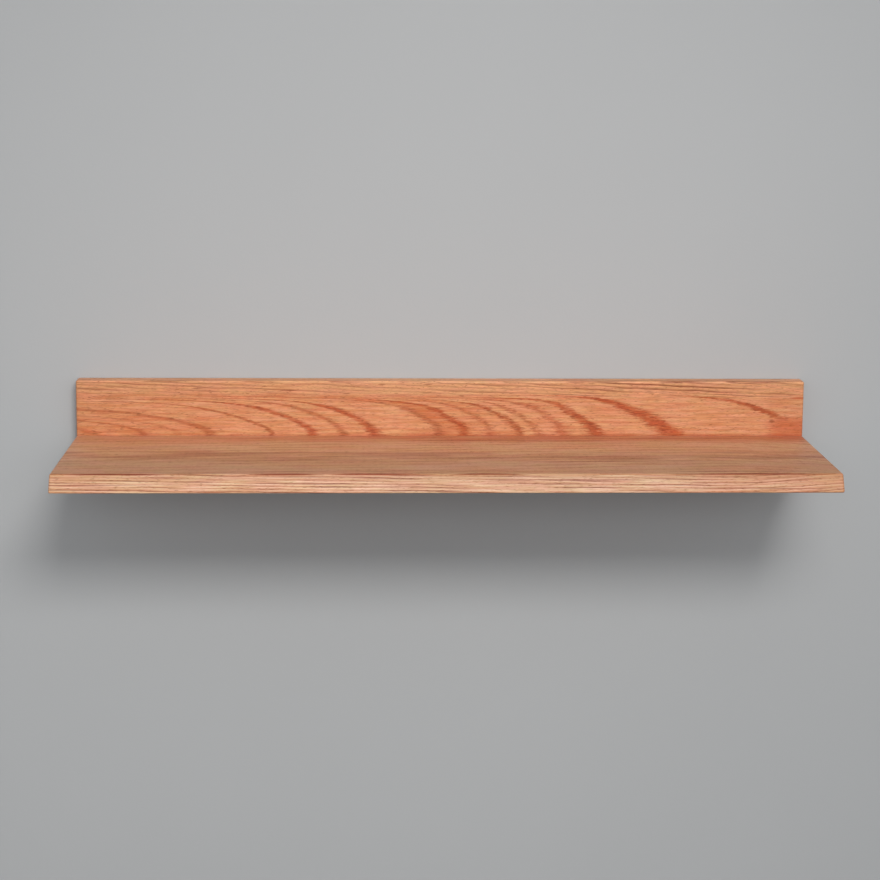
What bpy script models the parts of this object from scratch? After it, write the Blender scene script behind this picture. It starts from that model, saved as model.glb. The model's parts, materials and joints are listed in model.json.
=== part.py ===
"""A wall shelf of solid oak: a shelf board with a slanted front edge and a low back board, dowelled and screwed
into an L, and hung on two keyhole plates let into the wall side.

Metres, +Z up, +X along the boards, +Y towards the wall. The origin is the centre of the face on the wall.
"""

import math

import bmesh
import bpy
from mathutils import Vector

# Boards
BOARD_LENGTH = 0.800
SHELF_THICKNESS = 0.018
SHELF_REACH = 0.200  # from the wall to the foot of the slanted front edge
FRONT_SLANT = 0.009  # how far the foot of the front edge stands out past its top
BACK_BOARD_HEIGHT = 0.079
BACK_BOARD_THICKNESS = 0.018
ARRIS_RADIUS = 0.002  # rounding of every outer edge
GLUE_LINE = 0.0002  # between the two boards

# Dowels between the boards
DOWEL_DIAMETER = 0.008
DOWEL_LENGTH = 0.030
DOWEL_IN_BACK_BOARD = 0.011  # the rest of a dowel stands in the shelf board
DOWEL_COUNT = 8
DOWEL_END_MARGIN = 0.050  # from the end of a board to the first dowel's axis
DOWEL_CHAMFER = 0.001
DOWEL_FLUTES = 16
DOWEL_FLUTE_DEPTH = 0.00025
DOWEL_FIT = 0.00025  # round a dowel in its bore
DOWEL_END_ROOM = 0.001  # past a dowel's end, for glue

# Screws through the back board into the shelf board
JOINT_SCREW_COUNT = 4
JOINT_SCREW_LENGTH = 0.050
JOINT_SCREW_DIAMETER = 0.0045
JOINT_SCREW_HEAD_DIAMETER = 0.009
JOINT_SCREW_SINK = 0.0006  # from the wall side down to the head

# Keyhole plates in the wall side
PLATE_END_MARGIN = 0.100  # from the end of the back board to a plate's centre
PLATE_LENGTH = 0.044
PLATE_WIDTH = 0.017
PLATE_THICKNESS = 0.0016
PLATE_INSET = 0.0002  # from the wall side down to the plate
PLATE_FIT = 0.0003  # round and under a plate in its recess
KEYHOLE_DIAMETER = 0.010
KEYHOLE_DROP = 0.0035  # from the plate's centre down to the centre of the round hole
SLOT_WIDTH = 0.0052
SLOT_RISE = 0.0045  # from the plate's centre up to the centre of the slot's round end
HEAD_POCKET_DEPTH = 0.010  # from the wall side to the floor of the pocket
HEAD_POCKET_SIDE_ROOM = 0.0004  # wider than the keyhole all round

# Screws that hold a keyhole plate
PLATE_SCREW_LENGTH = 0.012
PLATE_SCREW_DIAMETER = 0.003
PLATE_SCREW_HEAD_DIAMETER = 0.0058
PLATE_SCREW_END_MARGIN = 0.007  # from the end of a plate to the screw's axis

# All screws
SCREW_FIT = 0.0003  # round a screw in its hole
SCREW_TIP_LENGTH = 1.6  # in shank diameters
SCREW_TIP_RADIUS = 0.0003
SCREW_END_ROOM = 0.002  # past a screw's tip
DRIVE_LENGTH = 0.56  # of the cross in a head, in head diameters
DRIVE_WIDTH = 0.14  # in head diameters
DRIVE_DEPTH = 0.24  # in head diameters
DRIVE_TAPER = 0.5  # width of the cross at its floor, as a share of that at its mouth

# Facets
ARRIS_SEGMENTS = 4
ROUND_SEGMENTS = 32
SMOOTH_ANGLE = math.radians(35)

# Levels and planes that the dimensions above give
UNDERSIDE = -BACK_BOARD_HEIGHT / 2
BACK_BOARD_TOP = BACK_BOARD_HEIGHT / 2
SHELF_TOP = UNDERSIDE + SHELF_THICKNESS
BACK_BOARD_FRONT = -BACK_BOARD_THICKNESS
SHELF_REAR = BACK_BOARD_FRONT - GLUE_LINE
JOINT_LEVEL = UNDERSIDE + SHELF_THICKNESS / 2
PLATE_LEVEL = (SHELF_TOP + BACK_BOARD_TOP) / 2
PLATE_SCREW_OFFSET = PLATE_LENGTH / 2 - PLATE_SCREW_END_MARGIN
PLATE_REAR = -PLATE_INSET
BEYOND = 0.010  # how far a cutter runs past what it cuts
ON_PLANE = 1e-6  # a point this near to the plane of a cut lies on it

OAK_BACK = ("oak_back_board", (0.60, 0.255, 0.125), 0.45, 0.0)
OAK_SHELF = ("oak_shelf_board", (0.56, 0.285, 0.150), 0.42, 0.0)
BEECH = ("beech", (0.66, 0.45, 0.27), 0.60, 0.0)
ZINC_PLATE = ("zinc_plated_plate", (0.60, 0.61, 0.63), 0.35, 1.0)
ZINC_SCREW = ("zinc_plated_screw", (0.66, 0.66, 0.66), 0.30, 1.0)


# Helpers


def clear_scene():
    for obj in list(bpy.data.objects):
        bpy.data.objects.remove(obj, do_unlink=True)


def material(look):
    name, colour, roughness, metallic = look
    made = bpy.data.materials.get(name)
    if made is None:
        made = bpy.data.materials.new(name)
        made.use_nodes = True
        shader = made.node_tree.nodes["Principled BSDF"]
        shader.inputs["Base Color"].default_value = (*colour, 1.0)
        shader.inputs["Roughness"].default_value = roughness
        shader.inputs["Metallic"].default_value = metallic
        made.diffuse_color = (*colour, 1.0)
    return made


def mesh_from(bm, name):
    bmesh.ops.recalc_face_normals(bm, faces=bm.faces)
    mesh = bpy.data.meshes.new(name)
    bm.to_mesh(mesh)
    bm.free()
    return mesh


def place(name, mesh, location=(0, 0, 0)):
    obj = bpy.data.objects.new(name, mesh)
    obj.location = location
    bpy.context.scene.collection.objects.link(obj)
    return obj


def cutter(name, mesh):
    obj = place(name, mesh)
    obj.hide_render = True
    obj.display_type = "WIRE"
    return obj


def cut(obj, tool):
    boolean = obj.modifiers.new(tool.name, "BOOLEAN")
    boolean.operation = "DIFFERENCE"
    boolean.solver = "EXACT"
    boolean.object = tool


def apply_and_shade(obj, look):
    """Turns the object's modifiers into its mesh, with round faces smooth and real edges sharp."""
    graph = bpy.context.evaluated_depsgraph_get()
    mesh = bpy.data.meshes.new_from_object(obj.evaluated_get(graph), depsgraph=graph)
    mesh.name = obj.name
    obj.modifiers.clear()
    obj.data = mesh
    mesh.shade_smooth()
    mesh.set_sharp_from_angle(angle=SMOOTH_ANGLE)
    mesh.materials.clear()
    mesh.materials.append(material(look))
    return mesh


def add_prism(bm, outline, depths, scales=(1, 1)):
    """Joins one closed outline in X and Z, drawn at two depths along Y and scaled about the Y axis at each."""
    rings = [
        [bm.verts.new((x * scale, depth, z * scale)) for x, z in outline]
        for depth, scale in zip(depths, scales)
    ]
    join_rings(bm, rings)


def join_rings(bm, rings):
    for near, far in zip(rings, rings[1:]):
        for i in range(len(near)):
            j = (i + 1) % len(near)
            bm.faces.new((near[i], near[j], far[j], far[i]))
    bm.faces.new(rings[0])
    bm.faces.new(rings[-1])


def add_turned(bm, profile, centre=(0, 0), segments=ROUND_SEGMENTS):
    """Turns (depth, radius) pairs about an axis along Y through the centre, given as X and Z."""
    rings = []
    for depth, radius in profile:
        turn = [2 * math.pi * i / segments for i in range(segments)]
        rings.append(
            [bm.verts.new((centre[0] + radius * math.cos(a), depth, centre[1] + radius * math.sin(a))) for a in turn]
        )
    join_rings(bm, rings)


def arc(centre_x, centre_z, radius, start, stop, steps):
    """Points on an arc in X and Z, from one angle to another, both ends included."""
    angles = [start + (stop - start) * i / steps for i in range(steps + 1)]
    return [(centre_x + radius * math.cos(a), centre_z + radius * math.sin(a)) for a in angles]


def stadium(width, low, high):
    """A slot's outline: two half circles, centred at the heights low and high, and the straights between."""
    half_turn = ROUND_SEGMENTS // 2
    upper = arc(0, high, width / 2, 0, math.pi, half_turn)
    lower = arc(0, low, width / 2, math.pi, 2 * math.pi, half_turn)
    return upper + lower


def moved(outline, x, z):
    return [(px + x, pz + z) for px, pz in outline]


# Positions that the boards and what joins them share


def dowel_positions():
    first = -BOARD_LENGTH / 2 + DOWEL_END_MARGIN
    pitch = -2 * first / (DOWEL_COUNT - 1)
    return [first + pitch * i for i in range(DOWEL_COUNT)]


def joint_screw_positions():
    """The screws stand evenly along the joint, each in the middle between two dowels."""
    dowels = dowel_positions()
    gaps = [(a + b) / 2 for a, b in zip(dowels, dowels[1:])]
    stride = (len(gaps) - 1) / (JOINT_SCREW_COUNT - 1)
    return [gaps[round(stride * i)] for i in range(JOINT_SCREW_COUNT)]


def plate_positions():
    reach = BOARD_LENGTH / 2 - PLATE_END_MARGIN
    return {"left": -reach, "right": reach}


# Screws


def head_height(head_diameter, shank_diameter):
    """A countersunk head's cone has straight sides at 45 degrees."""
    return (head_diameter - shank_diameter) / 2


def screw_mesh(name, length, shank_diameter, head_diameter, look):
    """A countersunk screw with its head's face at depth 0 and its tip towards -Y, and a cross in the head."""
    shank = shank_diameter / 2
    tip = SCREW_TIP_LENGTH * shank_diameter
    profile = [
        (0, head_diameter / 2),
        (-head_height(head_diameter, shank_diameter), shank),
        (-length + tip, shank),
        (-length, SCREW_TIP_RADIUS),
    ]
    body = bmesh.new()
    add_turned(body, profile)
    screw = place(name, mesh_from(body, name))

    half = DRIVE_LENGTH * head_diameter / 2
    blade = DRIVE_WIDTH * head_diameter / 2
    quarter = [(half, -blade), (half, blade), (blade, blade)]
    outline = []
    for turn in range(4):
        c, s = round(math.cos(turn * math.pi / 2)), round(math.sin(turn * math.pi / 2))
        outline += [(x * c - z * s, x * s + z * c) for x, z in quarter]
    depth = DRIVE_DEPTH * head_diameter
    rim = 1 + (1 - DRIVE_TAPER)  # the cutter goes on widening up to one depth above the head
    cross = bmesh.new()
    add_prism(cross, outline, (depth, -depth), (rim, DRIVE_TAPER))
    cut(screw, cutter(name + "_drive", mesh_from(cross, name + "_drive")))
    mesh = apply_and_shade(screw, look)
    bpy.data.objects.remove(screw)
    return mesh


def add_screw_hole(bm, x, z, head_face, length, shank_diameter, head_diameter):
    """A countersunk hole for a screw, from beyond the wall side to just past the screw's tip."""
    head = head_diameter / 2 + SCREW_FIT
    shank = shank_diameter / 2 + SCREW_FIT
    cone_end = head_face - head_height(head_diameter, shank_diameter)
    profile = [
        (BEYOND, head),
        (head_face, head),
        (cone_end, shank),
        (head_face - length - SCREW_END_ROOM, shank),
    ]
    add_turned(bm, profile, (x, z))


# Boards


def add_l_blank(bm):
    """Both boards as one L, with every outer edge rounded, so that they end flush with each other."""
    side_view = [
        (0, UNDERSIDE),
        (0, BACK_BOARD_TOP),
        (BACK_BOARD_FRONT, BACK_BOARD_TOP),
        (BACK_BOARD_FRONT, SHELF_TOP),
        (-SHELF_REACH + FRONT_SLANT, SHELF_TOP),
        (-SHELF_REACH, UNDERSIDE),
    ]
    inner_corner = Vector((BACK_BOARD_FRONT, SHELF_TOP))
    rings = [[bm.verts.new((x, y, z)) for y, z in side_view] for x in (-BOARD_LENGTH / 2, BOARD_LENGTH / 2)]
    join_rings(bm, rings)
    bmesh.ops.recalc_face_normals(bm, faces=bm.faces)

    def lies_in_corner(edge):
        return all((vert.co.yz - inner_corner).length < ARRIS_RADIUS / 2 for vert in edge.verts)

    outer_edges = [edge for edge in bm.edges if not lies_in_corner(edge)]
    bmesh.ops.bevel(
        bm,
        geom=outer_edges,
        offset=ARRIS_RADIUS,
        offset_type="OFFSET",
        segments=ARRIS_SEGMENTS,
        profile=0.5,
        affect="EDGES",
        clamp_overlap=True,
    )


def saw_off(bm, depth, towards_wall):
    """Takes away all of the body on one side of a plane across Y, and closes the cut with one face."""
    bmesh.ops.bisect_plane(
        bm,
        geom=bm.verts[:] + bm.edges[:] + bm.faces[:],
        dist=ON_PLANE,
        plane_co=(0, depth, 0),
        plane_no=(0, 1 if towards_wall else -1, 0),
        clear_outer=True,
    )
    rim = [edge for edge in bm.edges if edge.is_boundary]
    bmesh.ops.holes_fill(bm, edges=rim, sides=0)


def make_board(name, joint_face, wall_side, look, hole_sets):
    """Saws the L at the joint, keeps one side of it, and cuts one set of holes after the other."""
    blank = bmesh.new()
    add_l_blank(blank)
    saw_off(blank, joint_face, towards_wall=not wall_side)
    board = place(name, mesh_from(blank, name))

    for add_holes in hole_sets:
        holes = bmesh.new()
        add_holes(holes)
        tool_name = f"{name}_{add_holes.__name__}"
        cut(board, cutter(tool_name, mesh_from(holes, tool_name)))
    apply_and_shade(board, look)
    flat_faces_rule = board.modifiers.new("flat_faces_rule", "WEIGHTED_NORMAL")
    flat_faces_rule.keep_sharp = True


def add_dowel_bore(bm, x, mouth, floor):
    radius = DOWEL_DIAMETER / 2 + DOWEL_FIT
    add_turned(bm, [(mouth, radius), (floor, radius)], (x, JOINT_LEVEL))


def add_joint_screw_hole(bm, x):
    add_screw_hole(
        bm, x, JOINT_LEVEL, -JOINT_SCREW_SINK, JOINT_SCREW_LENGTH, JOINT_SCREW_DIAMETER, JOINT_SCREW_HEAD_DIAMETER
    )


def add_plate_recess(bm, x):
    """The stepped recess of one keyhole plate: a bed for the plate, and below it a pocket for a screw's head."""
    bed_floor = PLATE_REAR - PLATE_THICKNESS - PLATE_FIT
    straight = (PLATE_LENGTH - PLATE_WIDTH) / 2
    bed = stadium(PLATE_WIDTH + 2 * PLATE_FIT, -straight, straight)
    pocket_width = KEYHOLE_DIAMETER + 2 * HEAD_POCKET_SIDE_ROOM
    pocket = stadium(pocket_width, -KEYHOLE_DROP, SLOT_RISE)
    add_stepped_prism(bm, moved(bed, x, PLATE_LEVEL), moved(pocket, x, PLATE_LEVEL), bed_floor, -HEAD_POCKET_DEPTH)


def add_stepped_prism(bm, wide, narrow, step, floor):
    """A prism that is wide down to the step and narrow from there to its floor, as one closed body."""
    mouth = [bm.verts.new((x, BEYOND, z)) for x, z in wide]
    ledge = [bm.verts.new((x, step, z)) for x, z in wide]
    throat = [bm.verts.new((x, step, z)) for x, z in narrow]
    bottom = [bm.verts.new((x, floor, z)) for x, z in narrow]
    join_rings(bm, [mouth, ledge, throat, bottom])


def joint_in_back_board(bm):
    for x in dowel_positions():
        floor = BACK_BOARD_FRONT + DOWEL_IN_BACK_BOARD + DOWEL_END_ROOM
        add_dowel_bore(bm, x, BACK_BOARD_FRONT - BEYOND, floor)
    for x in joint_screw_positions():
        add_joint_screw_hole(bm, x)


def joint_in_shelf_board(bm):
    for x in dowel_positions():
        floor = BACK_BOARD_FRONT + DOWEL_IN_BACK_BOARD - DOWEL_LENGTH - DOWEL_END_ROOM
        add_dowel_bore(bm, x, SHELF_REAR + BEYOND, floor)
    for x in joint_screw_positions():
        add_joint_screw_hole(bm, x)


def plate_recesses(bm):
    for x in plate_positions().values():
        add_plate_recess(bm, x)


def plate_screw_pilots(bm):
    shank = PLATE_SCREW_DIAMETER / 2 + SCREW_FIT
    floor = PLATE_REAR - PLATE_SCREW_LENGTH - SCREW_END_ROOM
    for x in plate_positions().values():
        for side in (-1, 1):
            z = PLATE_LEVEL + side * PLATE_SCREW_OFFSET
            add_turned(bm, [(PLATE_REAR, shank), (floor, shank)], (x, z))


# Pieces between and behind the boards


def make_dowels():
    """Fluted dowels: the ring of a dowel has a ridge and a groove in turn."""
    radius = DOWEL_DIAMETER / 2
    steps = 2 * DOWEL_FLUTES

    def ring(bm, depth, ridge):
        points = []
        for i in range(steps):
            angle = 2 * math.pi * i / steps
            reach = ridge - (DOWEL_FLUTE_DEPTH if i % 2 else 0)
            points.append(bm.verts.new((reach * math.cos(angle), depth, reach * math.sin(angle))))
        return points

    bm = bmesh.new()
    half = DOWEL_LENGTH / 2
    ends = [
        (-half, radius - DOWEL_CHAMFER),
        (-half + DOWEL_CHAMFER, radius),
        (half - DOWEL_CHAMFER, radius),
        (half, radius - DOWEL_CHAMFER),
    ]
    join_rings(bm, [ring(bm, depth, ridge) for depth, ridge in ends])
    mesh = mesh_from(bm, "dowel")
    mesh.materials.append(material(BEECH))
    middle = BACK_BOARD_FRONT + DOWEL_IN_BACK_BOARD - half
    for number, x in enumerate(dowel_positions(), start=1):
        place(f"dowel_{number}", mesh, (x, middle, JOINT_LEVEL))


def make_joint_screws():
    mesh = screw_mesh(
        "joint_screw", JOINT_SCREW_LENGTH, JOINT_SCREW_DIAMETER, JOINT_SCREW_HEAD_DIAMETER, ZINC_SCREW
    )
    for number, x in enumerate(joint_screw_positions(), start=1):
        place(f"joint_screw_{number}", mesh, (x, -JOINT_SCREW_SINK, JOINT_LEVEL))


def keyhole_outline():
    """A round hole that opens upwards into a slot with a round end, drawn anticlockwise."""
    radius = KEYHOLE_DIAMETER / 2
    half_slot = SLOT_WIDTH / 2
    mouth = math.asin(half_slot / radius)  # half the angle of the hole that the slot takes up
    round_hole = arc(0, -KEYHOLE_DROP, radius, math.pi / 2 + mouth, 5 * math.pi / 2 - mouth, ROUND_SEGMENTS)
    slot_end = arc(0, SLOT_RISE, half_slot, 0, math.pi, ROUND_SEGMENTS // 2)
    return round_hole + slot_end


def make_keyhole_plates():
    """Steel plates with a keyhole in the middle and a countersunk hole near each end, origin on the rear face."""
    straight = (PLATE_LENGTH - PLATE_WIDTH) / 2
    blank = bmesh.new()
    add_prism(blank, stadium(PLATE_WIDTH, -straight, straight), (0, -PLATE_THICKNESS))
    plate = place("keyhole_plate", mesh_from(blank, "keyhole_plate"))

    keyhole = bmesh.new()
    add_prism(keyhole, keyhole_outline(), (BEYOND, -BEYOND))
    cut(plate, cutter("keyhole", mesh_from(keyhole, "keyhole")))
    screw_holes = bmesh.new()
    for side in (-1, 1):
        z = side * PLATE_SCREW_OFFSET
        add_screw_hole(
            screw_holes, 0, z, 0, PLATE_SCREW_LENGTH, PLATE_SCREW_DIAMETER, PLATE_SCREW_HEAD_DIAMETER
        )
    cut(plate, cutter("plate_screw_holes", mesh_from(screw_holes, "plate_screw_holes")))
    mesh = apply_and_shade(plate, ZINC_PLATE)
    bpy.data.objects.remove(plate)
    for side, x in plate_positions().items():
        place(f"keyhole_plate_{side}", mesh, (x, PLATE_REAR, PLATE_LEVEL))


def make_plate_screws():
    mesh = screw_mesh(
        "plate_screw", PLATE_SCREW_LENGTH, PLATE_SCREW_DIAMETER, PLATE_SCREW_HEAD_DIAMETER, ZINC_SCREW
    )
    for side, x in plate_positions().items():
        for end, sign in (("lower", -1), ("upper", 1)):
            place(f"plate_screw_{side}_{end}", mesh, (x, PLATE_REAR, PLATE_LEVEL + sign * PLATE_SCREW_OFFSET))


def main():
    clear_scene()
    back_board_holes = [joint_in_back_board, plate_recesses, plate_screw_pilots]
    make_board("back_board", BACK_BOARD_FRONT, True, OAK_BACK, back_board_holes)
    make_board("shelf_board", SHELF_REAR, False, OAK_SHELF, [joint_in_shelf_board])
    make_dowels()
    make_joint_screws()
    make_keyhole_plates()
    make_plate_screws()


main()
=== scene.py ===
"""Looks of the wall shelf: oiled red oak, zinc-plated hardware, a matt wall, a pale floor, lamps and camera.

Positions are in metres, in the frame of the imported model. The patterns of the wood are drawn in millimetres.
"""

import json
import math

import bpy
from mathutils import Matrix, Vector

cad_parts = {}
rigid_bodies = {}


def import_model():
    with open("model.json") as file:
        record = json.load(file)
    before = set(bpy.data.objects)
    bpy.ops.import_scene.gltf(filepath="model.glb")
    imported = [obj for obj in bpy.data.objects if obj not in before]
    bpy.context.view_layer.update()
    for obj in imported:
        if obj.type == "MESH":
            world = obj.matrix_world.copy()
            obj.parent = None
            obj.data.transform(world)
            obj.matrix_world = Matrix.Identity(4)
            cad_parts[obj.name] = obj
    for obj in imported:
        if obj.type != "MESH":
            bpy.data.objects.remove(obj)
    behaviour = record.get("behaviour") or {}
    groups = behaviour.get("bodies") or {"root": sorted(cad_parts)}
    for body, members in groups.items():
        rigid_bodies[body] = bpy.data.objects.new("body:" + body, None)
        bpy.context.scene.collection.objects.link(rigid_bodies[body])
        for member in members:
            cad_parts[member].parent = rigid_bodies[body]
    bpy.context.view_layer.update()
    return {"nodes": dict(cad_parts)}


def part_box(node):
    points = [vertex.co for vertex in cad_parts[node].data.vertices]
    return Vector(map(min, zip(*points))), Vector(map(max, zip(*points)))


# Frame and sizes that come from it
for leftover in list(bpy.data.objects):
    bpy.data.objects.remove(leftover)
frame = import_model()
nodes = frame["nodes"]
back_low, back_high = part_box("back_board")
shelf_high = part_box("shelf_board")[1]

MM = 1000.0  # millimetres in a metre
SHELF_TOP = shelf_high.z * MM
BACK_FRONT = back_low.y * MM
SMOOTH_ANGLE = math.radians(35)
WELD_DISTANCE = 1e-6

# Camera, found from the edges of the shelf in the photograph
CAMERA_PLACE = (-0.0882, -1.9517, 0.4161)
CAMERA_YAW = math.radians(-2.472)
CAMERA_PITCH = math.radians(-7.275)
CAMERA_ROLL = math.radians(-0.562)
FRAME_PIXELS = 880
FOCAL_PIXELS = 1794.4
SENSOR = 36.0
SHIFT = (0.0, -0.20)
CLIP_START = 0.05

# Growth rings on the front of the back board, from left to right. Each row is one dark ring: where its
# foot stands on the inner corner, how wide its core is, how far it takes to fade to the right, how dark it
# is, how red it is, and how pale the wood is between it and the next ring. Lengths are in mm, and places
# are measured from the middle of the board. A ring that stands beyond an end shows on the hidden side, or
# where its arc leans in.
RINGS = (
    (-520, 8, 16, 0.60, 0.3, 0.45),
    (-450, 7, 14, 0.60, 0.2, 0.40),
    (-385, 6, 12, 0.50, 0.2, 0.40),
    (-328, 3, 6, 0.65, 0.1, 0.50),
    (-292, 3, 6, 0.35, 0.1, 0.45),
    (-259, 7, 9, 0.65, 0.3, 0.70),
    (-190, 3, 4, 0.80, 0.2, 0.85),
    (-146, 5, 8, 0.90, 0.7, 0.75),
    (-111, 4, 6, 0.65, 0.2, 0.70),
    (-79, 4, 12, 0.95, 0.6, 0.80),
    (-7, 5, 8, 0.70, 0.0, 0.10),
    (20, 5, 8, 0.95, 0.6, 0.55),
    (51, 4, 6, 0.60, 0.1, 0.45),
    (80, 5, 4, 0.90, 0.2, 0.85),
    (101, 4, 5, 0.65, 0.1, 0.85),
    (128, 7, 9, 0.66, 0.5, 0.75),
    (164, 11, 8, 1.00, 0.6, 0.75),
    (243, 18, 12, 1.00, 0.8, 0.80),
    (394, 10, 9, 1.00, 0.5, 0.75),
    (528, 10, 16, 0.90, 0.9, 0.65),
    (590, 9, 18, 0.75, 0.3, 0.65),
    (650, 10, 18, 0.75, 0.4, 0.60),
    (740, 9, 16, 0.70, 0.3, 0.60),
)

# Single dark streaks in the top of the shelf board. Each row is one streak: its middle along X, half its
# length, its middle along Y, half its width, and how dark it is. Places are in mm from the middle of the
# board and from the wall.
STREAKS = (
    (150, 95, -138, 2.5, 0.9),
    (-36, 15, -124, 2.0, 0.8),
    (-34, 24, -138, 2.0, 0.5),
    (-315, 60, -184, 2.5, 0.8),
    (-160, 50, -183, 2.5, 0.7),
    (-70, 60, -180, 2.5, 0.7),
    (30, 55, -180, 2.5, 0.6),
    (150, 70, -185, 2.5, 0.5),
    (290, 100, -181, 2.5, 0.8),
    (-330, 60, -75, 3.0, 0.5),
    (-300, 40, -69, 2.5, 0.5),
    (80, 150, -41, 3.0, 0.9),
    (260, 110, -33, 3.0, 0.7),
)

# Thin dark lines in the top, just behind its front edge, in rows like those of the streaks.
RIM_STREAKS = (
    (-335, 60, -191, 3.0, 1.0),
    (-165, 44, -191, 3.0, 1.0),
    (-78, 50, -191, 3.0, 0.9),
    (38, 48, -191, 3.0, 0.9),
    (305, 100, -191, 3.2, 1.0),
)

# Streaks in the front edge of the shelf board, in rows of the same kind, with Z in place of Y.
EDGE_STREAKS = (
    (-365, 80, -32.0, 0.7, 0.7),
    (-370, 75, -36.6, 0.8, 0.6),
    (325, 85, -35.6, 0.7, 0.7),
    (-120, 90, -25.0, 0.6, 0.5),
    (150, 70, -27.5, 0.6, 0.6),
)

# Short dark marks in the front of the back board, with Z in place of Y: five high ones, then a small knot at
# the right end.
MARKS = (
    (-168, 11, 29.0, 1.2, 0.8),
    (-268, 9, 31.0, 1.2, 0.6),
    (-106, 6, 25.6, 1.0, 0.7),
    (-67, 6, 36.0, 1.2, 0.7),
    (-16, 6, 36.0, 1.2, 0.6),
    (365, 4, -5.0, 3.0, 0.7),
)

# A short red streak above that knot, in a row of the same kind.
RED_STREAK = ((396, 16, 21.0, 2.0, 0.75),)

# Sockets of the Mix node that carry colours
MIX_FIRST = 6
MIX_SECOND = 7
MIX_RESULT = 2


def srgb(red, green, blue):
    """A colour given in 8-bit display values, as the linear values that shaders take."""
    linear = []
    for value in (red, green, blue):
        share = value / 255
        linear.append(share / 12.92 if share <= 0.04045 else ((share + 0.055) / 1.055) ** 2.4)
    return (*linear, 1.0)


class Graph:
    """A material's node tree, with one short call for each kind of node. Values may be sockets or numbers."""

    def __init__(self, name):
        self.material = bpy.data.materials.new(name)
        self.material.use_nodes = True
        self.tree = self.material.node_tree
        self.tree.nodes.clear()

    def node(self, kind, **settings):
        made = self.tree.nodes.new(kind)
        for key, value in settings.items():
            setattr(made, key, value)
        return made

    def feed(self, socket, value):
        if isinstance(value, bpy.types.NodeSocket):
            self.tree.links.new(value, socket)
        else:
            socket.default_value = value

    def math(self, operation, *values):
        made = self.node("ShaderNodeMath", operation=operation)
        for socket, value in zip(made.inputs, values):
            self.feed(socket, value)
        return made.outputs[0]

    def add(self, a, b):
        return self.math("ADD", a, b)

    def sub(self, a, b):
        return self.math("SUBTRACT", a, b)

    def mul(self, a, b):
        return self.math("MULTIPLY", a, b)

    def larger(self, a, b):
        return self.math("MAXIMUM", a, b)

    def smaller(self, a, b):
        return self.math("MINIMUM", a, b)

    def unsigned(self, a):
        return self.math("ABSOLUTE", a)

    def inverse(self, share):
        return self.sub(1.0, share)

    def ramp(self, value, start, stop, low=0.0, high=1.0):
        """A smooth step: low up to start, high from stop on."""
        made = self.node("ShaderNodeMapRange", interpolation_type="SMOOTHSTEP")
        for key, number in (("Value", value), ("From Min", start), ("From Max", stop)):
            self.feed(made.inputs[key], number)
        self.feed(made.inputs["To Min"], low)
        self.feed(made.inputs["To Max"], high)
        return made.outputs["Result"]

    def vector(self, x, y, z):
        made = self.node("ShaderNodeCombineXYZ")
        for socket, value in zip(made.inputs, (x, y, z)):
            self.feed(socket, value)
        return made.outputs[0]

    def noise(self, place, sizes, detail=2.0, roughness=0.5):
        """Noise of mean 0.5, with features as long as the sizes along the three axes."""
        made = self.node("ShaderNodeTexNoise", noise_dimensions="3D")
        steps = [self.mul(value, 1 / size) for value, size in zip(place, sizes)]
        self.feed(made.inputs["Vector"], self.vector(*steps))
        made.inputs["Scale"].default_value = 1.0
        made.inputs["Detail"].default_value = detail
        made.inputs["Roughness"].default_value = roughness
        return made.outputs[0]

    def swing(self, place, sizes, detail=2.0, roughness=0.5):
        """The same noise around zero."""
        return self.sub(self.noise(place, sizes, detail, roughness), 0.5)

    def blend(self, share, a, b, mode="MIX"):
        made = self.node("ShaderNodeMix", data_type="RGBA", blend_type=mode)
        self.feed(made.inputs["Factor"], share)
        self.feed(made.inputs[MIX_FIRST], a)
        self.feed(made.inputs[MIX_SECOND], b)
        return made.outputs[MIX_RESULT]

    def tint(self, colour, share, factors):
        """Multiplies a colour by red, green and blue factors where the share is 1."""
        return self.blend(share, colour, self.blend(1.0, colour, factors, "MULTIPLY"))

    def shade(self, colour, share, factor):
        """Darkens or lightens a colour by a factor where the share is 1."""
        return self.tint(colour, share, (factor, factor, factor, 1.0))

    def scale(self, colour, factor):
        made = self.node("ShaderNodeVectorMath", operation="SCALE")
        self.feed(made.inputs[0], colour)
        self.feed(made.inputs["Scale"], factor)
        return made.outputs[0]

    def place(self):
        """X, Y and Z of the surface in mm, in the frame of the model."""
        parts = self.node("ShaderNodeSeparateXYZ")
        self.feed(parts.inputs[0], self.node("ShaderNodeTexCoord").outputs["Object"])
        return [self.mul(parts.outputs[axis], MM) for axis in range(3)]

    def facing(self):
        """How much the surface faces along X, Y and Z, without sign."""
        parts = self.node("ShaderNodeSeparateXYZ")
        self.feed(parts.inputs[0], self.node("ShaderNodeTexCoord").outputs["Normal"])
        return [self.unsigned(parts.outputs[axis]) for axis in range(3)]

    def background_ray(self):
        """1 for the rays that show what is looked at, straight or in metal and glass."""
        path = self.node("ShaderNodeLightPath").outputs
        mirrored = self.larger(path["Is Glossy Ray"], path["Is Transmission Ray"])
        return self.larger(path["Is Camera Ray"], mirrored)

    def bump(self, height, distance, strength):
        made = self.node("ShaderNodeBump")
        self.feed(made.inputs["Height"], height)
        made.inputs["Distance"].default_value = distance
        made.inputs["Strength"].default_value = strength
        return made.outputs[0]

    def finish(self, **inputs):
        """The Principled shader, its inputs given by name with spaces as underscores."""
        shader = self.node("ShaderNodeBsdfPrincipled")
        for key, value in inputs.items():
            self.feed(shader.inputs[key.replace("_", " ")], value)
        out = self.node("ShaderNodeOutputMaterial")
        self.feed(out.inputs["Surface"], shader.outputs[0])
        return self.material


# Wood: what both boards share

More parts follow.
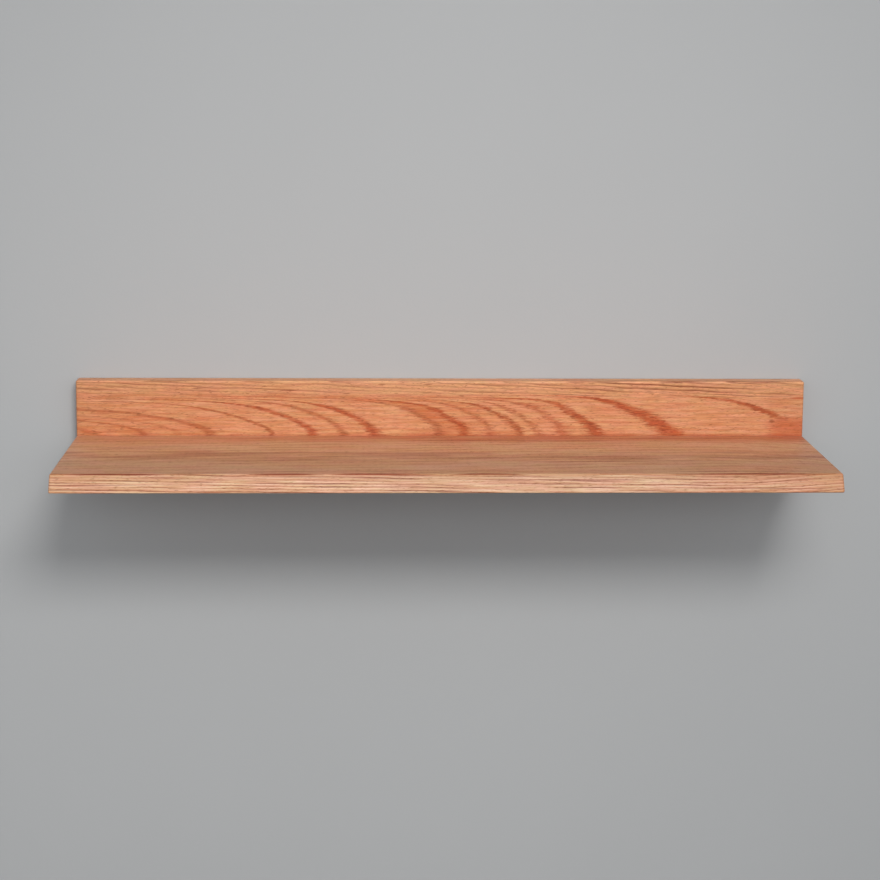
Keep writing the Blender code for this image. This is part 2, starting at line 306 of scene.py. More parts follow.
# What the wood's colour is multiplied by
ROSY = (1.02, 0.965, 1.0, 1.0)  # in pinkish places
STRAW = (0.99, 1.025, 0.93, 1.0)  # in yellowish places
PORE_TINT = (0.60, 0.53, 0.44, 1.0)  # in open pores
END_GRAIN_SHADE = 0.74  # on the end grain
# Painted highlight: the rounded edges are made paler, as where they catch the light
EDGE_HIGHLIGHT = 1.1  # on the rounded edges

# Sizes of features along X, Y and Z
PORE_SIZE = (6, 0.55, 0.55)
FINE_FIBRE_SIZE = (8, 0.6, 0.6)
COARSE_FIBRE_SIZE = (34, 1.5, 1.5)
HUE_SIZE = (34, 18, 5)

FINE_FIBRE_SHARE = 0.55
PORE_START = 0.66  # where in the noise pores start
PORE_DENSITY = 0.12  # how much lower they start in dark wood
PORE_EDGE = 0.05
WOOD_ROUGHNESS = (0.54, 0.44)  # in dark fibres and in pale ones
PORE_ROUGHNESS = 0.12  # what pores add to it
WOOD_SPECULAR = 0.4
WOOD_RELIEF = 0.00006  # depth of the pores, in metres
LINE_LENGTH = 90  # along which a growth line keeps its strength
LINE_JUMP = 3.7  # how far apart neighbouring lines are in the noise that gives their strengths


def pores(g, place, density):
    """Open pores: short thin dashes along the grain."""
    dash = g.noise(place, PORE_SIZE, 1.0)
    threshold = g.sub(PORE_START, g.mul(density, PORE_DENSITY))
    return g.ramp(dash, threshold, g.add(threshold, PORE_EDGE))


def fibres(g, place):
    """Fibre streaks along the grain, fine and coarse together, of mean 0.5."""
    fine = g.noise(place, FINE_FIBRE_SIZE, 1.0)
    coarse = g.noise(place, COARSE_FIBRE_SIZE)
    return g.add(g.mul(fine, FINE_FIBRE_SHARE), g.mul(coarse, 1 - FINE_FIBRE_SHARE))


def hue_drift(g, colour, place):
    """Drifts a wood colour between pinkish and yellowish from place to place."""
    cast = g.blend(g.ramp(g.noise(place, HUE_SIZE), 0.36, 0.64), ROSY, STRAW)
    return g.blend(1.0, colour, cast, "MULTIPLY")


def growth_lines(g, x, level, seed):
    """Thin dark lines where one growth layer meets the next, each with its own strength along it."""
    layer = g.math("FLOOR", level)
    share = g.sub(level, layer)
    own = g.noise((x, g.mul(layer, LINE_JUMP), seed), (LINE_LENGTH, 1, 1), 1.0)
    line = g.mul(g.ramp(share, 0.0, 0.12), g.ramp(share, 0.15, 0.7, 1.0, 0.0))
    return g.mul(line, g.ramp(own, 0.28, 0.62))


def streaks(g, x, y, places):
    """Single dark streaks, each a long thin lens."""
    dark = 0.0
    for middle, half_length, row, half_width, depth in places:
        along = g.unsigned(g.mul(g.sub(x, middle), 1 / half_length))
        thin = g.mul(g.inverse(g.smaller(g.mul(along, along), 1.0)), half_width)
        aside = g.unsigned(g.sub(y, row))
        lens = g.ramp(g.sub(thin, aside), 0.0, half_width * 0.8, 0.0, depth)
        dark = g.larger(dark, lens)
    return dark


def oiled_wood(g, colour, place, pore, streaky):
    """The satin oil finish on a wood colour: darker end grain, a painted highlight on the rounded edges, pores
    sunk in.
    """
    along, across, up = g.facing()
    fibre = fibres(g, place)
    colour = hue_drift(g, colour, place)
    colour = g.scale(colour, g.add(g.mul(g.sub(fibre, 0.5), streaky), 1.0))
    colour = g.shade(colour, g.ramp(along, 0.75, 0.95), END_GRAIN_SHADE)
    # Painted highlight: the rounded edges are lightened, as where they catch the light
    edge_highlight = g.ramp(g.larger(along, g.larger(across, up)), 0.74, 0.88, 1.0, 0.0)
    colour = g.shade(colour, g.mul(edge_highlight, 0.5), EDGE_HIGHLIGHT)
    colour = g.tint(colour, g.mul(pore, 0.9), PORE_TINT)
    roughness = g.add(g.ramp(fibre, 0.3, 0.7, *WOOD_ROUGHNESS), g.mul(pore, PORE_ROUGHNESS))
    height = g.sub(g.mul(fibre, 0.35), pore)
    return g.finish(
        Base_Color=colour,
        Roughness=roughness,
        Specular_IOR_Level=WOOD_SPECULAR,
        Normal=g.bump(height, WOOD_RELIEF, 0.5),
    )


# Wood of the back board

PALE = srgb(213, 153, 112)
ORANGE = srgb(186, 101, 54)
RING_BROWN = srgb(160, 76, 33)
RING_RED = srgb(184, 78, 33)
TAN = srgb(214, 158, 116)
TAN_LINE = srgb(126, 62, 26)
CORNER_RED = srgb(172, 80, 42)

# Shape of the arcs. A name that ends in SPAN is the stretch along X over which something changes.
ARC_CURVE = 0.1434  # how fast the arcs bend over with height, per mm
ARC_LEFT = -321.5  # where the lean is the sum of the two values below
ARC_LEAN = 0.1782
ARC_BASE_LEAN = 0.0288  # what is left of it far to the right
ARC_FURTHEST = -60.0  # how far left of ARC_LEFT the lean still grows
ARC_FADE = 135.7  # length along the board over which the lean falls off
ARC_SPAN = (0, 200)  # the tops and powers below have a left and a right value
ARC_TOPS = (46.9, 50.0)  # height above the shelf at which the arcs run level
ARC_POWERS = (5.2, 8.0)  # how suddenly they do
ARC_LIMIT = 0.995  # share of that height past which the arcs stay as they are
ARC_SKEW = 0.75  # how much the rings at the right slope from their foot on
SKEW_SPAN = (100, 220)
RING_SLOPE = 5.0  # mm along the board that a ring moves for each mm into the board

# How the rings waver
RING_SOFTNESS = 2.5
RING_EDGE = 0.3  # share of its core over which a ring gets dark
RING_WAVER = 12
WAVER_SIZE = (45, 30, 12)
COMB_SIZE = (10, 0.7, 0.7)  # fine strands that fray every edge in the pattern
RING_FRAY = (14, 36)  # how far they move a ring at the left and at the right, in mm like every fray
FRAY_SPAN = (-150, 190)
FAINT_SIZE = (26, 9, 5)  # size of the places where a ring is fainter
TONE_SIZE = (40, 9, 2.6)

# Straight lines along the top edge
TOP_ZONE = (43, 48)  # height above the shelf over which they take over from the arcs
ZONE_FALL = 0.004  # how much that height falls along X
ZONE_FRAY = 5.0
STRIP_LAYER = 3.7  # thickness of a growth layer there, in mm
STRIP_FALL = 0.04  # how much the layers fall along X
STRIP_TILT = 0.3  # layers passed for each mm into the board
STRIP_COUNT = 120  # whole layers that the count is set back by, which chooses the pattern
STRIP_SEED = 4.0
STRIP_SPAN = (60, 170)  # where the lines get darker
WOBBLE_SIZE = (60, 20, 8)
FLECK_SIZE = (4.5, 3, 1.1)
TAN_START, TAN_STOP = (-190, -60), (70, 160)  # the wood is more tan between these
STREAKY_SPAN = (40, 200)  # where the fibres show more in the strip

# Patches and marks
SKIN = (2.0, 7.0)  # depth under the front face over which they end, in mm
SKIN_FRAY = 3.0
PATCH_LEFT = (352, 374)  # where the low red patch at the right end starts, along X
PATCH_LEFT_FRAY = 30.0
PATCH_TOP = (15, 24)  # where it ends, above the shelf
PATCH_TOP_FRAY = 8.0
MARK_FRAY = (8.0, 2.0)  # along X and Z
CORNER_HALF = (0.6, 2.4)  # half the width of the streak in the inner corner, from full to none
CORNER_FRAY = 2.0
CORNER_SPAN = (-400, 60)
CORNER_BREAK_SIZE = (38, 9, 1)
CORNER_SEED = 6.0


def arc_field(g, x, y, height):
    """Which growth layer a point lies in, given as the place on the inner corner where that layer starts."""
    square = g.mul(height, height)
    foot = g.add(x, g.mul(square, ARC_CURVE))
    past = g.larger(g.sub(foot, ARC_LEFT), ARC_FURTHEST)
    lean = g.add(g.mul(g.math("EXPONENT", g.mul(past, -1 / ARC_FADE)), ARC_LEAN), ARC_BASE_LEAN)
    share = g.math("DIVIDE", g.unsigned(height), g.ramp(x, *ARC_SPAN, *ARC_TOPS))
    share = g.math("POWER", g.smaller(share, ARC_LIMIT), g.ramp(x, *ARC_SPAN, *ARC_POWERS))
    reach = g.math("DIVIDE", g.mul(square, lean), g.inverse(share))
    reach = g.add(reach, g.mul(height, g.ramp(x, *SKEW_SPAN, 0.0, ARC_SKEW)))
    slope = g.mul(g.sub(y, BACK_FRONT), -RING_SLOPE)
    return g.add(g.add(x, reach), slope)


def ring_bands(g, layer):
    """How dark, how red and, in between the rings, how pale the wood is in each growth layer."""
    dark, red, pale = 0.0, 0.0, RINGS[0][5]
    for foot, core, fade, depth, redness, after in RINGS:
        edge = g.ramp(layer, foot - RING_SOFTNESS - core * RING_EDGE, foot + core * RING_EDGE)
        tail = g.ramp(layer, foot + core, foot + core + fade, 1.0, 0.0)
        band = g.mul(g.mul(edge, tail), depth)
        dark = g.larger(dark, band)
        red = g.larger(red, g.mul(band, redness))
        step = g.ramp(layer, foot, foot + core + fade)
        pale = g.add(g.mul(g.inverse(step), pale), g.mul(step, after))
    return dark, red, pale


def back_rings(g, place, height, comb):
    """The ring bands on the arcs, wavering, frayed by the strands and fainter in patches."""
    x, y = place[:2]
    broad = g.mul(g.swing(place, WAVER_SIZE), RING_WAVER)
    frayed = g.mul(comb, g.ramp(x, *FRAY_SPAN, *RING_FRAY))
    layer = g.add(arc_field(g, x, y, height), g.add(broad, frayed))
    dark, red, pale = ring_bands(g, layer)
    faint = g.noise(place, FAINT_SIZE)
    return g.mul(dark, g.ramp(faint, 0.25, 0.55, 0.6, 1.0)), red, pale


def back_ground(g, place, pale):
    """The wood between the rings, from orange to pale."""
    tone = g.noise(place, TONE_SIZE, 3.0)
    pale = g.add(g.mul(pale, 0.55), g.mul(g.ramp(tone, 0.34, 0.66), 0.5))
    return g.blend(pale, ORANGE, PALE)


def top_strip(g, colour, place, top_zone):
    """Rings from beyond the right end pass along the top edge as fine lines, with flecks between them."""
    x, y, z = place
    wobble = g.noise(place, WOBBLE_SIZE)
    level = g.add(g.mul(g.add(z, g.mul(x, STRIP_FALL)), 1 / STRIP_LAYER), g.mul(wobble, 1.6))
    level = g.sub(level, g.add(g.mul(y, STRIP_TILT), STRIP_COUNT))
    line = g.mul(growth_lines(g, x, level, STRIP_SEED), g.ramp(x, *STRIP_SPAN, 0.6, 1.0))
    fleck = g.noise(place, FLECK_SIZE, 1.0)
    line = g.larger(line, g.mul(g.ramp(fleck, 0.66, 0.74), 0.8))
    middle = g.mul(g.ramp(x, *TAN_START), g.ramp(x, *TAN_STOP, 1.0, 0.0))
    colour = g.blend(g.mul(top_zone, g.add(g.mul(middle, 0.25), 0.45)), colour, TAN)
    return g.blend(g.mul(g.mul(line, top_zone), 0.9), colour, TAN_LINE)


def low_patch(g, x, height, comb, skin):
    """Where the low red patch at the right end is."""
    right = g.ramp(g.add(x, g.mul(comb, PATCH_LEFT_FRAY)), *PATCH_LEFT)
    below = g.ramp(g.add(height, g.mul(comb, PATCH_TOP_FRAY)), *PATCH_TOP, 1.0, 0.0)
    return g.mul(g.mul(right, below), skin)


def marks_and_patches(g, colour, place, low, comb, skin):
    """The low red patch, the short red streak high above it, and the short dark marks."""
    x, z = place[0], place[2]
    high = g.mul(streaks(g, x, z, RED_STREAK), skin)
    colour = g.blend(g.larger(g.mul(low, 0.6), high), colour, RING_RED)
    ragged = [g.add(value, g.mul(comb, fray)) for value, fray in zip((x, z), MARK_FRAY)]
    marks = streaks(g, *ragged, MARKS)
    return g.blend(g.mul(marks, skin), colour, TAN_LINE)


def inner_corner(g, colour, place, height, comb):
    """A broken red streak in the inner corner, stronger to the right."""
    x, y = place[:2]
    corner = g.ramp(g.unsigned(g.add(height, g.mul(comb, CORNER_FRAY))), *CORNER_HALF, 1.0, 0.0)
    broken = g.ramp(g.noise((x, y, CORNER_SEED), CORNER_BREAK_SIZE), 0.34, 0.6, 0.45, 1.15)
    share = g.mul(g.mul(corner, broken), g.ramp(x, *CORNER_SPAN, 0.15, 0.6))
    return g.blend(share, colour, CORNER_RED)


def back_board_wood():
    """Plain-sawn oak: half cathedral arcs rise from the inner corner and lean left, under straight lines."""
    g = Graph("oak_back_board")
    place = g.place()
    x, y, z = place
    height = g.sub(z, SHELF_TOP)
    comb = g.swing(place, COMB_SIZE, 2.0, 0.7)
    level = g.add(height, g.mul(x, ZONE_FALL))
    top_zone = g.ramp(g.add(level, g.mul(comb, ZONE_FRAY)), *TOP_ZONE)
    skin = g.ramp(g.sub(g.add(y, g.mul(comb, SKIN_FRAY)), BACK_FRONT), *SKIN, 1.0, 0.0)
    low = low_patch(g, x, height, comb, skin)
    dark, red, pale = back_rings(g, place, height, comb)
    dark = g.mul(dark, g.inverse(g.mul(top_zone, 0.8)))
    dark = g.mul(dark, g.inverse(g.mul(low, 0.85)))

    colour = top_strip(g, back_ground(g, place, pale), place, top_zone)
    colour = g.blend(g.mul(dark, 0.9), colour, g.blend(red, RING_BROWN, RING_RED))
    colour = marks_and_patches(g, colour, place, low, comb, skin)
    colour = inner_corner(g, colour, place, height, comb)
    pore = pores(g, place, g.add(dark, 0.2))
    streaky = g.add(g.mul(top_zone, g.ramp(x, *STREAKY_SPAN, 0.1, 0.45)), 1.05)
    return oiled_wood(g, colour, place, pore, streaky)


# Wood of the shelf board

SHELF_PALE = srgb(222, 181, 149)
SHELF_MID = srgb(198, 140, 104)
SHELF_DARK = srgb(132, 72, 46)
SHELF_RED = srgb(132, 62, 36)
SHELF_ORANGE = srgb(196, 124, 78)
# Painted shade: the colour that the top is blended towards, darker and browner than the front edge of the same
# board
TOP_PAINTED_SHADE = srgb(178, 118, 80)
FRONT_TINT = (0.87, 0.895, 0.895, 1.0)  # what the front edge is multiplied by
UPPER_TINT = (0.89, 0.84, 0.78, 1.0)  # what the upper part of the front edge is multiplied by
FORE_SHADE = 0.83  # what the top is multiplied by near its front edge
SHELF_STREAKY = 0.6  # how strongly the fibres show

# Growth layers
SHELF_LAYER = 2.6  # thickness of one
SHELF_TILT = 0.22  # how much they rise towards the wall
SHELF_RISE = -0.012  # how much they rise along X
CLIMB = 0.045  # how much they climb at the right end
CLIMB_FROM = 250  # along X
CLIMB_SPAN = (240, 420)  # where the climb sets in
CALM_SPAN = (-330, -120)  # left of here the layers stand out less
SHELF_SEED = 9.0
DRIFT_SIZE = (130, 40, 14)
RIPPLE_SIZE = (30, 12, 4)
FINE_LAYER_SIZE = (50, 4, 0.6)

# How many mm the drift and the ripple move things by
LAYER_BEND = (4.0, 0.7)
STREAK_BEND = (8.0, 3.0)
RIM_BEND = (0.0, 2.0)
EDGE_BEND = (4.0, 1.0)
ROW_BEND = (20.0, 0.0)
END_BEND = (0.0, 30.0)
UPPER_BEND = (0.0, 2.0)

# Tones, and rows of unlike tone on the top
WARM_SIZE = (160, 25, 9)
END_SPAN = (240, 275)  # right of here the wood is more orange
FRONT_SPAN = (-160, -40)  # where FRONT_TINT comes to its full strength
UPPER_HEIGHT = (-29, -25)  # along Z, where the upper part of the front edge starts
REAR_ROW = (-56, -34)  # along Y, where the row at the wall starts
REAR_SPAN = (-400, 60)
MIDDLE_ROW_FRONT, MIDDLE_ROW_REAR = (-140, -130), (-100, -90)
FORE_ROW = (-142, -126)  # where the row at the front edge ends
ROW_BREAK_SIZE = (60, 7, 1)
ROW_BREAK_SEED = 6.0
ROW_PATCH_SIZE = (110, 16, 1)
ROW_PATCH_SEED = 2.0
STRAND_SIZE = (45, 0.9, 0.9)


def bent(g, value, waves, amounts):
    """A place moved by the drift and the ripple, each times its amount."""
    drift, ripple = waves
    return g.add(value, g.add(g.mul(drift, amounts[0]), g.mul(ripple, amounts[1])))


def shelf_layers(g, place, waves):
    """The growth layers, which rise gently to the wall: a line where each starts, and finer lines between."""
    x, y, z = place
    depth = g.sub(z, g.add(g.mul(y, SHELF_TILT), g.mul(x, SHELF_RISE)))
    climb = g.mul(g.ramp(x, *CLIMB_SPAN), g.mul(g.sub(x, CLIMB_FROM), CLIMB))
    depth = g.sub(depth, climb)
    level = g.mul(bent(g, depth, waves, LAYER_BEND), 1 / SHELF_LAYER)
    line = growth_lines(g, x, level, SHELF_SEED)
    fine = g.noise((x, y, g.sub(z, climb)), FINE_LAYER_SIZE, 1.0)
    return line, g.ramp(fine, 0.34, 0.66)


def shelf_ground(g, place, line, fine, waves, level_face):
    """Pale to dark by layer, with painted shade on the top. The layers stand out more on the front, where they
    are cut across.
    """
    x = place[0]
    contrast = g.mul(g.ramp(level_face, 0.0, 1.0, 1.0, 0.45), g.ramp(x, *CALM_SPAN, 0.8, 1.0))
    shade = g.mul(g.add(g.mul(line, 0.85), g.mul(fine, 0.5)), contrast)
    colour = g.blend(g.ramp(shade, 0.0, 0.5), SHELF_PALE, SHELF_MID)
    colour = g.blend(g.ramp(shade, 0.5, 1.25), colour, SHELF_DARK)
    # Painted shade: the level top is made darker and browner than the front edge
    colour = g.blend(g.mul(level_face, 0.6), colour, TOP_PAINTED_SHADE)
    warm = g.noise(place, WARM_SIZE)
    colour = g.blend(g.mul(g.ramp(warm, 0.4, 0.7), 0.3), colour, SHELF_ORANGE)
    end_tone = g.ramp(bent(g, x, waves, END_BEND), *END_SPAN)
    return g.blend(g.mul(end_tone, g.sub(0.45, g.mul(level_face, 0.4))), colour, SHELF_ORANGE)


def front_tones(g, colour, place, waves, front):
    """The front edge a little darker, more so from the middle on, and browner in its upper part."""
    x, z = place[0], place[2]
    colour = g.tint(colour, g.mul(g.ramp(x, *FRONT_SPAN, 0.5, 1.0), front), FRONT_TINT)
    upper = g.mul(g.ramp(bent(g, z, waves, UPPER_BEND), *UPPER_HEIGHT), front)
    return g.tint(colour, upper, UPPER_TINT)


def top_rows(g, colour, place, waves, level_face):
    """Rows of unlike tone on the top: reddish at the wall, dark in the middle, shaded near the front edge."""
    x, y = place[:2]
    row = bent(g, y, waves, ROW_BEND)
    broken = g.ramp(g.noise((x, y, ROW_BREAK_SEED), ROW_BREAK_SIZE), 0.34, 0.6, 0.6, 1.15)
    rear = g.mul(g.mul(g.ramp(row, *REAR_ROW), broken), g.ramp(x, *REAR_SPAN, 0.2, 0.55))
    patchy = g.noise((x, y, ROW_PATCH_SEED), ROW_PATCH_SIZE)
    middle = g.mul(g.ramp(row, *MIDDLE_ROW_FRONT), g.ramp(row, *MIDDLE_ROW_REAR, 1.0, 0.0))
    middle = g.mul(middle, g.ramp(patchy, 0.36, 0.62, 0.06, 0.5))
    fore = g.mul(g.ramp(row, *FORE_ROW, 1.0, 0.0), g.ramp(patchy, 0.3, 0.6, 0.75, 1.1))
    colour = g.blend(g.mul(rear, level_face), colour, CORNER_RED)
    colour = g.blend(g.mul(middle, level_face), colour, SHELF_DARK)
    return g.shade(colour, g.mul(fore, level_face), FORE_SHADE)


def shelf_streaks(g, colour, place, waves, up, level_face):
    """The single dark streaks of the top, of its front rim and of the front edge."""
    x, y, z = place
    strand = g.ramp(g.noise(place, STRAND_SIZE, 1.0), 0.38, 0.58, 0.25, 1.0)
    on_top = streaks(g, x, bent(g, y, waves, STREAK_BEND), STREAKS)
    on_top = g.mul(g.mul(on_top, level_face), strand)
    rim = streaks(g, x, bent(g, y, waves, RIM_BEND), RIM_STREAKS)
    rim = g.mul(rim, g.ramp(up, 0.5, 0.8))
    colour = g.blend(g.larger(on_top, rim), colour, SHELF_RED)
    on_edge = streaks(g, x, bent(g, z, waves, EDGE_BEND), EDGE_STREAKS)
    return g.blend(g.mul(on_edge, g.inverse(level_face)), colour, SHELF_RED)


def shelf_board_wood():
    """A board sawn nearly flat, with broad bands on top and fine lines on the front."""
    g = Graph("oak_shelf_board")
    place = g.place()
    up = g.facing()[2]
    level_face = g.ramp(up, 0.80, 0.95)
    waves = (g.swing(place, DRIFT_SIZE), g.swing(place, RIPPLE_SIZE))
    line, fine = shelf_layers(g, place, waves)
    colour = shelf_ground(g, place, line, fine, waves, level_face)
    colour = front_tones(g, colour, place, waves, g.inverse(level_face))
    colour = top_rows(g, colour, place, waves, level_face)
    colour = shelf_streaks(g, colour, place, waves, up, level_face)
    pore = pores(g, place, g.add(g.mul(line, 0.8), 0.2))
    return oiled_wood(g, colour, place, pore, SHELF_STREAKY)


# Dowels

BEECH_PALE = srgb(214, 178, 138)
BEECH_DARK = srgb(196, 156, 116)
RAY_SIZE = (0.4, 3, 0.4)
RAY_SHADE = 0.78
BEECH_RELIEF = 0.00004  # in metres, like every relief
BEECH_ROUGHNESS = (0.62, 0.74)
BEECH_CLOUD_SIZE = (2, 14, 2)


def beech_wood():
    """Raw beech with short dark ray flecks."""
    g = Graph("beech_dowel")
    place = g.place()
    ray = g.noise(place, RAY_SIZE)
    cloud = g.noise(place, BEECH_CLOUD_SIZE, 3.0)
    colour = g.blend(g.ramp(cloud, 0.3, 0.7), BEECH_PALE, BEECH_DARK)
    colour = g.shade(colour, g.ramp(ray, 0.62, 0.72), RAY_SHADE)
    return g.finish(
        Base_Color=colour,
        Roughness=g.ramp(ray, 0.3, 0.7, *BEECH_ROUGHNESS),
        Normal=g.bump(ray, BEECH_RELIEF, 0.5),
    )


# Hardware

PLATE_ZINC = srgb(205, 208, 212)
PLATE_WORN = srgb(214, 204, 176)
SCREW_ZINC = srgb(212, 212, 212)
SCREW_WORN = srgb(216, 202, 160)
CRYSTALS_PER_MM = 0.9
CRYSTAL_SHADE = 0.86
ROLLING_SIZE = (0.25, 0.25, 6)
ZINC_CLOUD_SIZE = (5, 5, 7)
ZINC_RELIEF = 0.00002
ZINC_ROUGHNESS = (0.24, 0.38)
CRYSTAL_ROUGHNESS = 0.06  # what a crystal adds to it at most


def zinc(name, colour, worn):
    """Bright zinc plating: faint crystal patches, rolling lines and a yellowish cast in places."""
    g = Graph(name)
    place = g.place()
    crystal = g.node("ShaderNodeTexVoronoi", feature="F1")
    g.feed(crystal.inputs["Vector"], g.vector(*place))
    crystal.inputs["Scale"].default_value = CRYSTALS_PER_MM
    patch = g.node("ShaderNodeSeparateColor")
    g.feed(patch.inputs[0], crystal.outputs["Color"])
    rolling = g.noise(place, ROLLING_SIZE, 3.0, 0.6)
    cloud = g.noise(place, ZINC_CLOUD_SIZE, 3.0)
    tinted = g.blend(g.ramp(cloud, 0.35, 0.75, 0.0, 0.5), colour, worn)
    tinted = g.shade(tinted, g.ramp(patch.outputs[0], 0.0, 1.0, 0.0, 0.5), CRYSTAL_SHADE)
    dull = g.mul(patch.outputs[1], CRYSTAL_ROUGHNESS)
    roughness = g.add(g.ramp(rolling, 0.25, 0.75, *ZINC_ROUGHNESS), dull)
    return g.finish(
        Base_Color=tinted,
        Metallic=1.0,
        Roughness=roughness,
        Normal=g.bump(rolling, ZINC_RELIEF, 0.4),
    )


# Meshes


def smoothing():
    """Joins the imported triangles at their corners, and shades them smooth up to an angle."""
    group = bpy.data.node_groups.new("smooth_by_angle", "GeometryNodeTree")
    group.interface.new_socket("Geometry", in_out="INPUT", socket_type="NodeSocketGeometry")
    group.interface.new_socket("Geometry", in_out="OUTPUT", socket_type="NodeSocketGeometry")
    new, link = group.nodes.new, group.links.new
    start, stop = new("NodeGroupInput"), new("NodeGroupOutput")
    weld = new("GeometryNodeMergeByDistance")
    weld.inputs["Distance"].default_value = WELD_DISTANCE
    bare = new("GeometryNodeRemoveAttribute")
    bare.inputs["Name"].default_value = "custom_normal"
    faces = new("GeometryNodeSetShadeSmooth")
    edges = new("GeometryNodeSetShadeSmooth")
    edges.domain = "EDGE"
    edges.inputs["Shade Smooth"].default_value = False
    angle = new("GeometryNodeInputMeshEdgeAngle")
    sharp = new("FunctionNodeCompare")
    sharp.data_type = "FLOAT"
    sharp.operation = "GREATER_THAN"
    sharp.inputs[1].default_value = SMOOTH_ANGLE
    link(start.outputs[0], weld.inputs["Geometry"])
    link(weld.outputs["Geometry"], bare.inputs["Geometry"])
    link(bare.outputs["Geometry"], faces.inputs["Geometry"])
    link(faces.outputs["Geometry"], edges.inputs["Geometry"])
    link(angle.outputs["Unsigned Angle"], sharp.inputs[0])
    link(sharp.outputs[0], edges.inputs["Selection"])
    link(edges.outputs["Geometry"], stop.inputs[0])
    return group


def dress(names, material, group):
    """Gives nodes their material, and smooth shading that leaves their flat faces flat."""
    for name in names:
        node = nodes[name]
        node.data.materials.clear()
        node.data.materials.append(material)
        smooth = node.modifiers.new("smooth", "NODES")
        smooth.node_group = group
        flat = node.modifiers.new("flat_faces_rule", "WEIGHTED_NORMAL")
        flat.keep_sharp = True


# Stage

WALL_GAP = 0.0004
OPENING_INSET = 0.001  # how far inside the board's outline the wall is open behind it
WALL_HALF_WIDTH = 6.0
WALL_HEIGHT = 3.0
FLOOR_LEVEL = -1.0
FLOOR_HALF = 6.0
WALL_COLOUR = srgb(177, 178, 179)
FLOOR_COLOUR = srgb(214, 213, 210)
WALL_SPECK = 0.985  # what the clouds in the paint multiply its colour by
FLOOR_SPECK = 0.98
WALL_BOUNCE = 1.0  # what its colour is multiplied by for the light that it throws on matt things
FLOOR_BOUNCE = 0.42
CLOUD_SIZE = (400, 400, 400)
ROLLER_SIZE = (3, 3, 3)
PAINT_ROUGHNESS = 0.85
PAINT_SPECULAR = 0.2
PAINT_RELIEF = 0.0002


def paint(g, colour, speck, bounce):
    """Matt paint with faint clouds and the texture that a roller leaves."""
    place = g.place()
    cloud = g.noise(place, CLOUD_SIZE, 3.0)
    roller = g.noise(place, ROLLER_SIZE)
    tinted = g.shade(colour, g.ramp(cloud, 0.3, 0.7, 0.0, 1.0), speck)
    tinted = g.shade(tinted, g.inverse(g.background_ray()), bounce)
    return g.finish(
        Base_Color=tinted,
        Roughness=PAINT_ROUGHNESS,
        Specular_IOR_Level=PAINT_SPECULAR,
        Normal=g.bump(roller, PAINT_RELIEF, 0.3),
    )


def one_sided(name, colour, speck, bounce):
    """Paint that shows from its front, and lets the camera look through it from behind."""
    g = Graph(name)
    painted = paint(g, colour, speck, bounce)
    out = next(node for node in g.tree.nodes if node.type == "OUTPUT_MATERIAL")
    shader = out.inputs["Surface"].links[0].from_socket
    mixed = g.node("ShaderNodeMixShader")
    behind = g.node("ShaderNodeNewGeometry").outputs["Backfacing"]
    seen = g.node("ShaderNodeLightPath").outputs["Is Camera Ray"]
    g.feed(mixed.inputs[0], g.mul(behind, seen))
    g.feed(mixed.inputs[1], shader)
    g.feed(mixed.inputs[2], g.node("ShaderNodeBsdfTransparent").outputs[0])
    g.feed(out.inputs["Surface"], mixed.outputs[0])
    return painted


def stage_sheet(name, corners, faces, material):
    mesh = bpy.data.meshes.new(name)
    mesh.from_pydata(corners, [], faces)
    mesh.materials.append(material)
    sheet = bpy.data.objects.new(name, mesh)
    bpy.context.scene.collection.objects.link(sheet)


def wall_ring(left, right, foot, top):
    """The corners of an upright rectangle in the plane of the wall."""
    return [(x, WALL_GAP, z) for x, z in ((left, foot), (right, foot), (right, top), (left, top))]


def make_wall(material):
    """The wall, open behind the flat of the back board, so that light from behind reaches the hidden side."""
    corners = wall_ring(-WALL_HALF_WIDTH, WALL_HALF_WIDTH, FLOOR_LEVEL, WALL_HEIGHT)
    corners += wall_ring(
        back_low.x + OPENING_INSET,
        back_high.x - OPENING_INSET,
        back_low.z + OPENING_INSET,
        back_high.z - OPENING_INSET,
    )
    faces = [(i, (i + 1) % 4, 4 + (i + 1) % 4, 4 + i) for i in range(4)]
    stage_sheet("wall", corners, faces, material)


def make_floor(material):
    signs = ((-1, -1), (1, -1), (1, 1), (-1, 1))
    corners = [(x * FLOOR_HALF, y * FLOOR_HALF, FLOOR_LEVEL) for x, y in signs]
    stage_sheet("floor", corners, [(0, 1, 2, 3)], material)


# Light: angles are seen from the shelf, distances are in metres and powers in watts

KEY_ELEVATION = math.radians(33.7)
KEY_AZIMUTH = math.radians(10.7)
KEY_DISTANCE = 2.7
KEY_SIZE = (1.14, 0.60)
KEY_SPREAD = math.radians(61.6)
KEY_POWER = 6.04
KEY_COLOUR = (1.0, 0.985, 0.96)
KEY_CENTRE = Vector((0, -0.1, 0.09))  # the point that its angles and distance are measured from
KEY_AIM = Vector((-0.12, -0.1, -0.1))

FILL_ELEVATION = math.radians(12.9)
FILL_AZIMUTH = math.radians(5.4)
FILL_DISTANCE = 4.53
FILL_SIZE = (2.99, 1.57)
FILL_POWER = 33.9
FILL_AIM = Vector((0, -0.1, 0))

# A lamp behind the wall, for the views of the hidden side
REAR_PLACE = Vector((0.5, 2.2, 0.6))
REAR_SIZE = (1.2, 1.2)
REAR_POWER = 30
REAR_AIM = Vector((0, 0, 0))

ALL_ROUND = math.pi  # the spread of a lamp that isn't narrowed
WHITE = (1.0, 1.0, 1.0)
LIGHT_ABOVE = 0.64
LIGHT_BELOW = 0.13
HORIZON = 0.15  # how far above and below the level the light below passes into the light above
SKY_COLOUR = (0.97, 1.0, 1.03, 1.0)
BACKGROUND = (0.62, 0.62, 0.62, 1.0)


